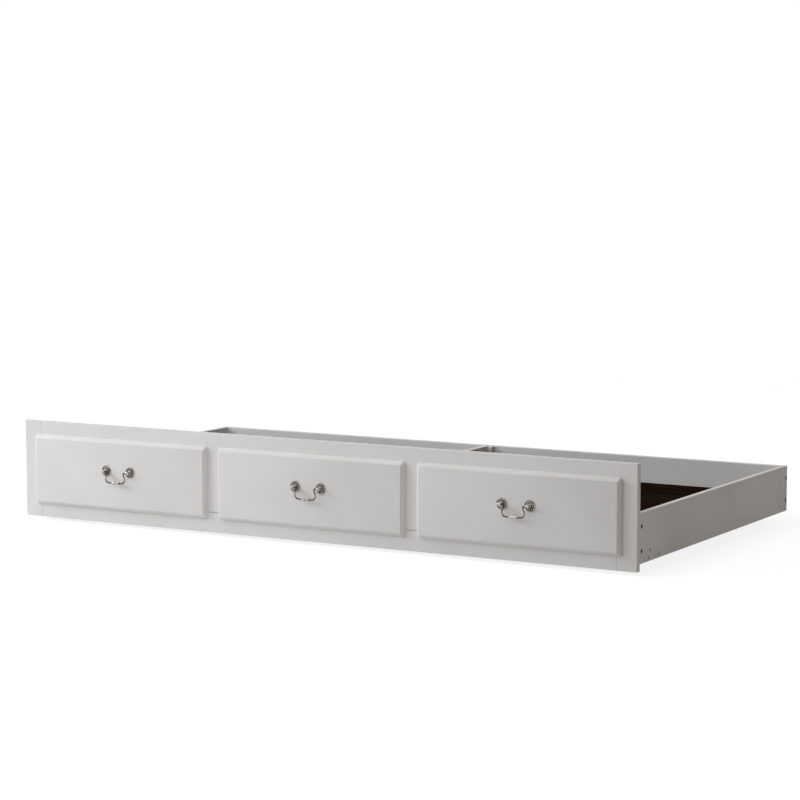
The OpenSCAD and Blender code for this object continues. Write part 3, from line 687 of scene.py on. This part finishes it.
@dataclass
class DrawerFront:
    """A false drawer front with a shallow round and a small fillet round its face."""

    node: str
    round_w: float = 0.0096
    round_from: float = 80.0
    round_to: float = 22.0
    fillet_h: float = 0.0019
    shelf_w: float = 0.0004
    ease: float = 0.0004
    corner_r: float = 0.0100
    corner_min: float = 0.0004
    corner_steps: int = 7

    def profile(self, depth: float) -> np.ndarray:
        """Section of the moulding: straight side, round, narrow shelf, fillet, face.

        The round's surface leans from round_from to round_to degrees away from the face, so
        its radius is round_w / (sin(round_from) - sin(round_to)).

        Args:
            depth: Thickness of the front.

        Returns:
            Rows of inset from the side and height above the back.
        """
        first, last = math.radians(self.round_from), math.radians(self.round_to)
        radius = self.round_w / (math.sin(first) - math.sin(last))
        centre = (radius * math.sin(first), depth - self.fillet_h - radius * math.cos(last))
        curve = arc(centre, radius, 90 + self.round_from, 90 + self.round_to, 14)
        inset = self.round_w + self.shelf_w
        top = arc((inset + self.ease, depth - self.ease), self.ease, 180, 90, 4)
        return np.concatenate([[[0.0, 0.0]], curve, [[inset, depth - self.fillet_h]], top])

    def build(self, material: bpy.types.Material) -> None:
        """Carries the moulding round the four sides, with corners that sharpen inwards.

        Each ring is the front's outline moved in by the profile's inset, at the profile's height.
        Its corners have the radius corner_r less the inset, and never less than corner_min.

        Args:
            material: Paint of the front.
        """
        low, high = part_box(self.node)
        section = self.profile(high.y - low.y)
        inset, height = section[:, :1], section[:, 1:]
        radius = np.maximum(self.corner_r - inset, self.corner_min)
        steps = self.corner_steps
        angle = np.radians(np.concatenate([np.linspace(k, k + 90, steps) for k in (180, 270, 0, 90)]))
        across = np.repeat([1, -1, -1, 1], steps)[None] * (inset + radius)
        up = np.repeat([1, 1, -1, -1], steps)[None] * (inset + radius)
        x = np.repeat([low.x, high.x, high.x, low.x], steps) + across + radius * np.cos(angle)
        z = np.repeat([low.z, low.z, high.z, high.z], steps) + up + radius * np.sin(angle)
        y = np.broadcast_to(high.y - height, x.shape)
        skin = Skin()
        skin.grid(np.stack([x, y, z], axis=-1))
        skin.piece(f"{self.node}_moulded", "bed", "white_paint", material, (self.node,))


# ---- fasteners


class Drive(Enum):
    """Recess in the head of a fastener."""

    CROSS = "cross"
    HEX = "hex"

    def mouth(self, angle: np.ndarray, size: float) -> np.ndarray:
        """Radius of the recess's mouth in each direction.

        A cross of arm length size and a third of it wide reaches size / cos(b) or
        size / (6 sin(b)), whichever is less, where b is the angle from the nearest arm. A
        hexagon that measures size from its middle to a flat reaches size / cos(b), where b is
        the angle from the middle of the nearest flat.

        Args:
            angle: Directions in radians.
            size: Arm length, or half of the width across flats.

        Returns:
            The radii.
        """
        sector = math.pi / 2 if self is Drive.CROSS else math.pi / 3
        off = np.abs((angle + sector / 2) % sector - sector / 2)
        reach = size / np.cos(off)
        if self is Drive.CROSS:
            reach = np.minimum(reach, size / 6 / np.maximum(np.sin(off), 1e-3))
        return reach

    def floor(self) -> float:
        """Share of the mouth's size that the recess keeps at its floor."""
        return 0.55 if self is Drive.CROSS else 0.97


@dataclass
class Fastener:
    """One kind of screw or bolt, wherever the model has one of that node."""

    node: str
    slot: str
    drive: Drive
    recess: float
    recess_depth: float
    head: tuple[tuple[float, float], ...]
    taper_l: float = 0.6
    tip_r: float = 0.35

    def _axis(self, points: np.ndarray) -> tuple[np.ndarray, np.ndarray]:
        """Finds the middle of a fastener's head top and the direction out of the head.

        The axis is the longest side of its box; the head is at the end where points lie
        farther from the axis.

        Args:
            points: Points of the solid.

        Returns:
            Middle of the top of the head, and the outward direction.
        """
        low, high = points.min(axis=0), points.max(axis=0)
        k = int(np.argmax(high - low))
        middle = (low + high) / 2
        off = points - middle
        across = np.linalg.norm(np.delete(off, k, axis=1), axis=1)
        sign = 1.0 if off[np.argmax(across), k] > 0 else -1.0
        along = np.zeros(3)
        along[k] = sign
        middle[k] = high[k] if sign > 0 else low[k]
        return middle, along

    def build(self, material: bpy.types.Material, steps: int = 72) -> None:
        """Makes all the fasteners of the node as one piece.

        The rows run from the middle of the recess's floor up its tapering walls, over the
        head's profile and down the shank to its end, which narrows to tip_r of the shank's
        radius over taper_l of it.

        Args:
            material: Their finish.
            steps: Points around.
        """
        angle = np.linspace(0, 2 * np.pi, steps, endpoint=False)
        mouth = self.drive.mouth(angle, self.recess)
        skin = Skin()
        for points in solids(self.node):
            top, along = self._axis(points)
            length = float(np.ptp(points @ np.abs(along)))
            head = np.array(self.head)
            neck = head[-1, 0]
            tip = [[neck, neck * self.taper_l - length], [neck * self.tip_r, -length], [0.0, -length]]
            rows = np.vstack([head, tip])
            turned = np.repeat(rows[:, :1], steps, axis=1)
            radius = np.vstack([0 * mouth, self.drive.floor() * mouth, mouth, *turned])
            crown = head[0, 1]
            height = np.concatenate([[crown - self.recess_depth] * 2, [crown], rows[:, 1]])
            # Painted shade at the recess's floor and walls, on the point attribute that the screws'
            # finish does not read.
            hollow = np.concatenate([[1.0, 0.8, 0.2], np.zeros(len(rows))])[:, None]
            skin.grid(ring(radius, height, top, along), caps=False, hollow=hollow)
        skin.piece(f"{self.node}_driven", "bed", self.slot, material, (self.node,), crease=40.0)


def countersunk(top_r: float, shank_r: float, rim: float = 0.0001) -> tuple[tuple[float, float], ...]:
    """Head profile of a wood screw: flat top, narrow rim, cone of 90 degrees to the shank."""
    edge = top_r - rim
    return ((edge * 0.75, 0.0), (edge, 0.0), (top_r, -rim), (shank_r, shank_r - top_r))


def domed(top_r: float, shank_r: float, height: float, rim_h: float) -> tuple[tuple[float, float], ...]:
    """Head profile of a pan screw or bolt: an arched top, a rounded rim and a flat underside.

    The top sinks by (height - rim_h) * t ** 2 at t times the radius, out to t = brim, where a
    quarter of an ellipse takes over.

    Args:
        top_r: Radius of the head.
        shank_r: Radius of the shank.
        height: Height of the head.
        rim_h: Height of its rim.

    Returns:
        Rows of radius and height from the top.
    """
    inner, brim = 0.62, 0.94
    arch = [(top_r * t, -(height - rim_h) * t ** 2) for t in np.linspace(inner, brim, 5)]
    low = rim_h / 2 - height
    rim = [(top_r * (brim + (1 - brim) * math.cos(a)), low + (arch[-1][1] - low) * math.sin(a))
           for a in np.linspace(math.pi / 2, 0, 4)[1:]]
    return (*arch, *rim, (top_r, -height), (shank_r, -height))


@dataclass
class Hardware:
    """Screws, bolts, nuts and casters."""

    zinc: PlatedMetal = PlatedMetal("zinc_plate", (0.62, 0.63, 0.64), (0.45, 0.46, 0.47), 0.30)
    browned: PlatedMetal = PlatedMetal("browned_steel", (0.055, 0.048, 0.042), (0.025, 0.022, 0.02), 0.38)
    black: PlatedMetal = PlatedMetal("black_zinc", (0.035, 0.035, 0.036), (0.018, 0.018, 0.018), 0.42)
    nylon: MouldedNylon = MouldedNylon()

    def build(self) -> None:
        """Makes the fasteners with heads in view and dresses the other metal and the wheels."""
        zinc, browned, black = (metal.material() for metal in (self.zinc, self.browned, self.black))
        painted = replace(self.browned, name="painted_steel", rear_paint=SatinPaint().colour).material()
        wood = countersunk(0.00375, 0.002)
        for node in ("drawer_front_screws", "frame_screws", "divider_screws", "corner_screws"):
            finish = painted if node == "corner_screws" else browned
            Fastener(node, "dark_screw", Drive.CROSS, 0.0023, 0.0018, wood).build(finish)
        bolt = domed(0.006, 0.003, 0.002, 0.0014)
        Fastener("side_bolts", "black_bolt", Drive.HEX, 0.002, 0.0022, bolt).build(black)
        for node, head_r, recess, depth in (("pull_screws", 0.004, 0.0022, 0.0016),
                                            ("caster_screws", 0.00375, 0.0021, 0.0015)):
            pan = domed(head_r, 0.002, 0.0024, 0.001)
            Fastener(node, "zinc", Drive.CROSS, recess, depth, pan).build(zinc)
        casters = [f"{y}_{x}_caster" for y in ("front", "rear") for x in ("left", "right")]
        dress(["barrel_nuts", "caster_kingpins", "caster_balls"], zinc)
        dress([f"{caster}_{part}" for caster in casters for part in ("plate", "fork", "axle")], zinc)
        dress([f"{caster}_wheel" for caster in casters], self.nylon.material())


# ---- bail pulls


def back_of(points: np.ndarray) -> np.ndarray:
    """Middle of the back of a piece that is turned about Y and looks forward."""
    low, high = points.min(axis=0), points.max(axis=0)
    return np.array([(low[0] + high[0]) / 2, high[1], (low[2] + high[2]) / 2])


@dataclass
class Rosette:
    """Round backplate under a post: a boss, a ring of petals and a beaded rim."""

    seat_r: float = 0.0023
    boss_r: float = 0.0061
    boss_h: float = 0.0032
    boss_ease: float = 0.0004
    dish_gap: float = 0.0002
    plate_h: float = 0.0011
    petal_h: float = 0.0012
    petals: int = 12
    bead_r: float = 0.0018
    bead_h: float = 0.0008
    beads: int = 24

    def _rim(self, radius: float, angle: np.ndarray) -> tuple[np.ndarray, np.ndarray]:
        """Rows over the beads, from the dish out to the scalloped edge and down to the back.

        At angle b from a bead's middle the edge lies at m cos b + sqrt(bead_r ** 2 -
        (m sin b) ** 2), where m is the circle of the middles, and the height is that of the
        sphere over the point.

        Args:
            radius: Outer radius of the rosette.
            angle: Directions in radians.

        Returns:
            Radii and heights.
        """
        pitch = 2 * math.pi / self.beads
        off = (angle + pitch / 2) % pitch - pitch / 2
        middle = radius - self.bead_r
        half = np.sqrt(np.maximum(self.bead_r ** 2 - (middle * np.sin(off)) ** 2, 0))
        edge = middle * np.cos(off) + half
        share = np.sin(np.linspace(0, math.pi / 2, 13))[:, None]
        r = middle - self.bead_r + share * (edge - middle + self.bead_r)
        gap = (r * np.cos(off) - middle) ** 2 + (r * np.sin(off)) ** 2
        height = self.bead_h + np.sqrt(np.maximum(self.bead_r ** 2 - gap, 0))
        return r, height

    def grid(self, skin: Skin, back: np.ndarray, radius: float) -> None:
        """Adds one rosette.

        Petals between boss and rim rise as sin(pi t) over the ring's width, scaled from a
        third in the valleys to one on the crests.

        Args:
            skin: Mesh to add to.
            back: Middle of its flat back.
            radius: Outer radius.
        """
        angle = np.linspace(0, 2 * np.pi, self.beads * 8, endpoint=False)
        flat = np.ones_like(angle)
        rim_r, rim_h = self._rim(radius, angle)
        t = np.linspace(0.04, 0.96, 9)[:, None]
        start, stop = self.boss_r + self.boss_ease, rim_r[0, 0] - self.dish_gap
        crest = np.abs(np.cos(angle * self.petals / 2)) ** 0.6
        dish_r = start + t * (stop - start) * flat
        dish_h = self.plate_h + self.petal_h * np.sin(math.pi * t) * (0.3 + 0.7 * crest)
        edge_r, edge_h = self.boss_r - self.boss_ease, self.boss_h - self.boss_ease
        boss = np.array([[self.seat_r, 0.0], [self.seat_r, self.boss_h], [edge_r, self.boss_h],
                         [self.boss_r, edge_h], [self.boss_r, self.plate_h]])
        r = np.vstack([boss[:, :1] * flat, dish_r, rim_r, rim_r[-1], self.seat_r * flat])
        h = np.vstack([boss[:, 1:] * flat, dish_h, rim_h, 0 * flat, 0 * flat])
        dark = np.vstack([
            np.array([[0.0], [0.0], [0.1], [0.5], [1.0]]) * flat,
            np.clip(1.15 - 1.1 * crest * np.sin(math.pi * t) ** 0.7, 0, 1),
            np.clip(1.25 - 1.6 * (rim_h - self.bead_h) / self.bead_r, 0, 1),
            0.5 * flat, 0 * flat])
        skin.grid(ring(r, h, back, (0.0, -1.0, 0.0)), caps=False, hollow=dark)


@dataclass
class Post:
    """Turned post of a pull: a foot, a waist, a drilled ball and a small button at its tip."""

    foot_r: float = 0.0055
    foot_h: float = 0.0005
    foot_round: float = 0.0009
    waist_r: float = 0.0032
    flare_r: float = 0.0014
    flare_h: float = 0.0030
    bead_r: float = 0.0007
    bead_h: float = 0.0050
    ball_r: float = 0.0054
    hole_r: float = 0.00195
    hole_past: float = 0.0015
    button: tuple[tuple[float, float, float], ...] = (
        (0, -0.0012, 0), (0.0024, -0.0012, 0), (0.0024, -0.0004, 0.4), (0.0021, -0.0002, 0.5),
        (0.0017, -0.0003, 1), (0.0015, -0.0001, 0.3), (0.0009, 0, 0), (0, 0, 0))

    def grid(self, skin: Skin, points: np.ndarray, side: float) -> None:
        """Adds one post.

        The ball is turned about the bail's axis, so that its blind hole is round; the other
        parts are turned about the screw's axis. Rows of the button hold its radius, its height
        over the ball and its darkness.

        Args:
            skin: Mesh to add to.
            points: Points of the model's solid.
            side: 1 where the hole opens towards +x, -1 towards -x.
        """
        foot = back_of(points)
        ball_h = foot[1] - points[:, 1].min() - self.ball_r
        out = np.array([0.0, -1.0, 0.0])
        waist, top = self.waist_r, self.bead_h + 0.0010
        turned = np.vstack([
            [[0, 0], [self.foot_r, 0], [self.foot_r, self.foot_h]],
            arc((self.foot_r - self.foot_round, self.foot_h), self.foot_round, 20, 90, 5),
            arc((waist + self.flare_r, self.flare_h), self.flare_r, 250, 180, 6),
            [[waist, self.bead_h - 0.0008]],
            arc((waist, self.bead_h), self.bead_r, -80, 80, 7),
            [[waist, top], [waist + 0.0002, ball_h - 0.0036], [0, ball_h - 0.0030]]])
        # Dark from the end of the foot's round to the bead, and from the bead into the ball
        dark = np.zeros(len(turned))
        dark[8:17] = 0.75
        dark[-4:] = 0.9
        skin.grid(lathe(turned, foot, out, 40), caps=False, hollow=dark[:, None])
        mouth = math.degrees(math.asin(self.hole_r / self.ball_r))
        shell = arc((0, 0), self.ball_r, 90 - mouth, -90, 26)
        drilled = np.vstack([[[0, -self.hole_past], [self.hole_r, -self.hole_past]], shell])
        dark = np.zeros(len(drilled))
        dark[:4] = 1.0, 1.0, 0.9, 0.3
        ball = foot + out * ball_h
        skin.grid(lathe(drilled, ball, (side, 0.0, 0.0), 40), caps=False, hollow=dark[:, None])
        button = np.array(self.button)
        turned = lathe(button[:, :2] + (0.0, self.ball_r), ball, out, 32)
        skin.grid(turned, caps=False, hollow=button[:, 2:])


@dataclass
class Bail:
    """Swinging handle: one bent wire with leaning arms, a spindle grip and its collars."""

    body: str
    wire_r: float = 0.0019
    grip_r: float = 0.0036
    grip_half: float = 0.015
    grip_end_r: float = 0.0023
    collar_r: float = 0.0028
    collar_half: float = 0.001
    inner_set: float = 0.0026
    inner_rise: float = 0.0002
    inner_share: float = 0.6
    # Width over which the wire darkens at each collar's edges.
    collar_dark_w: float = 0.0005
    arm_in: float = 0.0135
    lean: float = 32.0
    corner_r: float = 0.012
    bend_r: float = 0.003

    def _half(self, reach: float, drop: float) -> np.ndarray:
        """Right half of the centre line, from the middle of the grip to the pin's end.

        A straight stretch, the lower corner's arc up to the lean, the arc of the leaning arm
        back to upright, the tight bend and the pin.

        Args:
            reach: Distance from the middle to the pin's end.
            drop: Distance from the pin down to the grip.

        Returns:
            Rows of x and z about the middle of the pivot line.
        """
        arm = reach - self.arm_in
        tilt = math.radians(self.lean)
        lean_drop = drop - self.bend_r - self.corner_r * (1 + math.sin(tilt))
        lean_r = lean_drop / math.sin(tilt)
        end = np.array([arm + lean_r * (1 - math.cos(tilt)), -self.bend_r - lean_drop])
        corner = end - self.corner_r * np.array([math.cos(tilt), math.sin(tilt)])
        grip_x = np.linspace(0, corner[0], 64)[:-1]
        return np.vstack([
            np.stack([grip_x, np.full_like(grip_x, -drop)], axis=-1),
            arc(tuple(corner), self.corner_r, -90, self.lean, 22),
            arc((arm + lean_r, -self.bend_r), lean_r, 180 + self.lean, 180, 12)[1:],
            arc((arm + self.bend_r, -self.bend_r), self.bend_r, 180, 90, 10)[1:],
            [[reach, 0.0]]])

    def _thickness(self, along: np.ndarray) -> tuple[np.ndarray, np.ndarray]:
        """Radius and darkness at each distance along the wire from the middle of the grip.

        The spindle is grip_end_r + (grip_r - grip_end_r)(1 - (s / grip_half) ** 2), and a
        collar stands over it as half an ellipse, with a smaller one inside it. The darkness
        varies as a sine along the arms and fades as exp(-x ** 2) from the collars' edges.

        Args:
            along: Distances, negative on the left.

        Returns:
            Radii and hollow values.
        """
        s = np.abs(along)
        swell = 1 - (s / self.grip_half) ** 2
        grip = self.grip_end_r + (self.grip_r - self.grip_end_r) * swell
        radius = np.where(swell > 0, grip, self.wire_r)
        # Painted reflection: dark arms with a sine ripple and a bright grip, as polished metal mirroring
        # dark and bright surroundings would look.
        dark = np.where(swell > 0, 0.12, 0.55 - 0.25 * np.sin(s * 190.0))
        outer = self.grip_half, self.collar_r, self.collar_half
        inner = (self.grip_half - self.inner_set, self.collar_r + self.inner_rise,
                 self.collar_half * self.inner_share)
        for place, height, half in (outer, inner):
            dome = np.sqrt(np.maximum(1 - ((s - place) / half) ** 2, 0))
            collar = self.wire_r + (height - self.wire_r) * dome
            radius = np.maximum(radius, np.where(dome > 0, collar, 0))
            # Darker at each collar's edges, fading away from them.
            dark = np.maximum(dark, np.exp(-((np.abs(s - place) - half) / self.collar_dark_w) ** 2))
        return radius, np.clip(dark, 0, 1)

    def build(self, material: bpy.types.Material) -> None:
        """Sweeps the wire from pin to pin on its own moving body.

        Args:
            material: Finish of the pulls.
        """
        low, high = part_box(self.body)
        reach = (high.x - low.x) / 2
        drop = (high.z - self.wire_r) - (low.z + self.grip_r)
        half = self._half(reach, drop)
        flat = np.vstack([half[:0:-1] * [-1, 1], half])
        step = np.linalg.norm(np.diff(half, axis=0), axis=1)
        along = np.concatenate([[0.0], np.cumsum(step)])
        radius, dark = self._thickness(np.concatenate([-along[:0:-1], along]))
        middle = np.array([(low.x + high.x) / 2, (low.y + high.y) / 2, high.z - self.wire_r])
        path = middle + np.stack([flat[:, 0], np.zeros(len(flat)), flat[:, 1]], axis=-1)
        skin = Skin()
        skin.grid(sweep(path, radius, (0.0, 1.0, 0.0)), hollow=dark[:, None])
        skin.piece(f"{self.body}_wire", self.body, "antique_nickel", material, (self.body,), crease=50.0)


@dataclass
class Pulls:
    """The three bail pulls on the drawer fronts."""

    rosette: Rosette = field(default_factory=Rosette)
    post: Post = field(default_factory=Post)
    nickel: AntiqueNickel = AntiqueNickel()

    def build(self) -> None:
        """Makes rosettes, posts and bails."""
        nickel = self.nickel.material()
        plates, posts = Skin(), Skin()
        for points in solids("pull_rosettes"):
            self.rosette.grid(plates, back_of(points), np.ptp(points[:, 0]) / 2)
        for place, points in enumerate(solids("pull_posts")):
            self.post.grid(posts, points, 1.0 if place % 2 == 0 else -1.0)
        plates.piece("rosettes_beaded", "bed", "antique_nickel", nickel, ("pull_rosettes",), crease=60.0)
        posts.piece("posts_turned", "bed", "antique_nickel", nickel, ("pull_posts",), crease=50.0)
        for side in SIDES:
            Bail(f"{side}_bail").build(nickel)


# ---- studio


@dataclass(frozen=True)
class Lamp:
    """A rectangular soft lamp: place, the point it faces, width and height, watts and colour."""

    name: str
    at: tuple[float, float, float]
    aim: tuple[float, float, float]
    size: tuple[float, float]
    power: float
    colour: tuple[float, float, float]
    glossy: bool = True

    def hang(self) -> None:
        """Puts the lamp into the scene; polished surfaces mirror it where glossy is set."""
        data = bpy.data.lights.new(self.name, "AREA")
        data.shape, (data.size, data.size_y) = "RECTANGLE", self.size
        data.energy, data.color = self.power, self.colour
        lamp = add_object(self.name, data)
        lamp.location, lamp.visible_glossy = self.at, self.glossy
        facing = Vector(self.aim) - Vector(self.at)
        lamp.rotation_euler = facing.to_track_quat("-Z", "Y").to_euler()


@dataclass
class Studio:
    """Camera, lamps, floor and world.

    The lamps: the strongest beyond the left end, a key in front, a warm one overhead, one behind.
    """

    camera_at: tuple[float, float, float] = (3.5606, -6.3014, 1.1435)
    camera_yaw: float = 29.535
    camera_dip: float = 6.226
    lens: float = 112.93
    lamps: tuple[Lamp, ...] = (
        Lamp("side_lamp", (-4.4, -2.4, 2.2), (0.0, -0.3, 0.15), (2.4, 1.8), 132.0, (0.925, 0.952, 1.0)),
        Lamp("key_lamp", (-0.8, -3.2, 1.9), (0.0, -0.3, 0.15), (2.4, 1.6), 24.0, (0.925, 0.952, 1.0)),
        Lamp("top_lamp", (-0.8, -1.6, 4.0), (0.0, -0.3, 0.15), (3.6, 2.4), 46.5, (1.0, 0.95, 0.885)),
        Lamp("rear_lamp", (-0.3, 3.6, 1.7), (0.0, 0.5, 0.1), (2.4, 1.6), 20.0, (0.95, 0.97, 1.0), False))
    world_light: float = 0.11
    world_tint: tuple[float, float, float] = (1.0, 0.87, 0.75)
    floor_reach: float = 40.0
    floor_near: float = 2.0
    floor_far: float = 5.0
    floor_lit: tuple[float, float, float] = (0.40, 0.40, 0.40)
    floor_glow: tuple[float, float, float] = (0.86, 0.86, 0.86)

    def build(self) -> None:
        """Sets up the view and the light."""
        self._camera()
        for lamp in self.lamps:
            lamp.hang()
        self._floor()
        self._world()
        bpy.context.scene.view_settings.view_transform = "Standard"

    def _camera(self) -> None:
        """Creates the camera at the viewing angle."""
        lens = bpy.data.cameras.new("view_camera")
        lens.lens, lens.sensor_width = self.lens, 36.0
        lens.clip_end = 60.0
        camera = add_object("view_camera", lens)
        camera.location = self.camera_at
        tilt, turn = math.radians(90.0 - self.camera_dip), math.radians(self.camera_yaw)
        camera.rotation_euler = (tilt, 0.0, turn)
        bpy.context.scene.camera = camera

    def _floor(self) -> None:
        """A wide pale floor: a soft shadow near the bed, plain white beyond it and in mirrors."""
        mesh = bpy.data.meshes.new("studio_floor")
        far = self.floor_reach
        corners = [(-far, -far, 0), (far, -far, 0), (far, far, 0), (-far, far, 0)]
        mesh.from_pydata(corners, [], [(0, 1, 2, 3)])
        shader = Shader("studio_floor")
        seen = shader.seen()
        distance = shader.node("VectorMath", {"operation": "LENGTH"}, {0: shader.place()}, "Value")
        away = distance.ramp(self.floor_near, self.floor_far)
        near_lit = shader.blend(away, self.floor_lit, (0.0, 0.0, 0.0))
        near_glow = shader.blend(away, self.floor_glow, (1.0, 1.0, 1.0))
        mesh.materials.append(shader.finish(
            Base_Color=shader.blend(seen, (0.82, 0.82, 0.82), near_lit),
            Emission_Color=shader.blend(seen, (0.0, 0.0, 0.0), near_glow),
            Emission_Strength=1.0, Roughness=0.9, Specular_IOR_Level=0.0))
        add_object("studio_floor", mesh)

    def _world(self) -> None:
        """An even pale world: white to the eye and in mirrors, dimmer as light."""
        sky = Nodes(bpy.data.worlds.new("studio_world"))
        dim = sky.node("Background", {}, {"Color": self.world_tint, "Strength": self.world_light})
        white = sky.node("Background", {}, {"Color": (1.0, 1.0, 1.0), "Strength": 1.0})
        sky.show(sky.node("MixShader", {}, {0: sky.seen(), 1: dim, 2: white}).out, "World")
        bpy.context.scene.world = sky.owner


def main() -> None:
    """Builds the scene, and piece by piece."""
    logging.basicConfig(level=logging.INFO, format="%(message)s")
    Studio().build()
    Carcass().build()
    paint = SatinPaint().material(Run.ALONG_X)
    for side in SIDES:
        DrawerFront(f"{side}_drawer_front").build(paint)
    Hardware().build()
    Pulls().build()


if __name__ == "__main__":
    main()
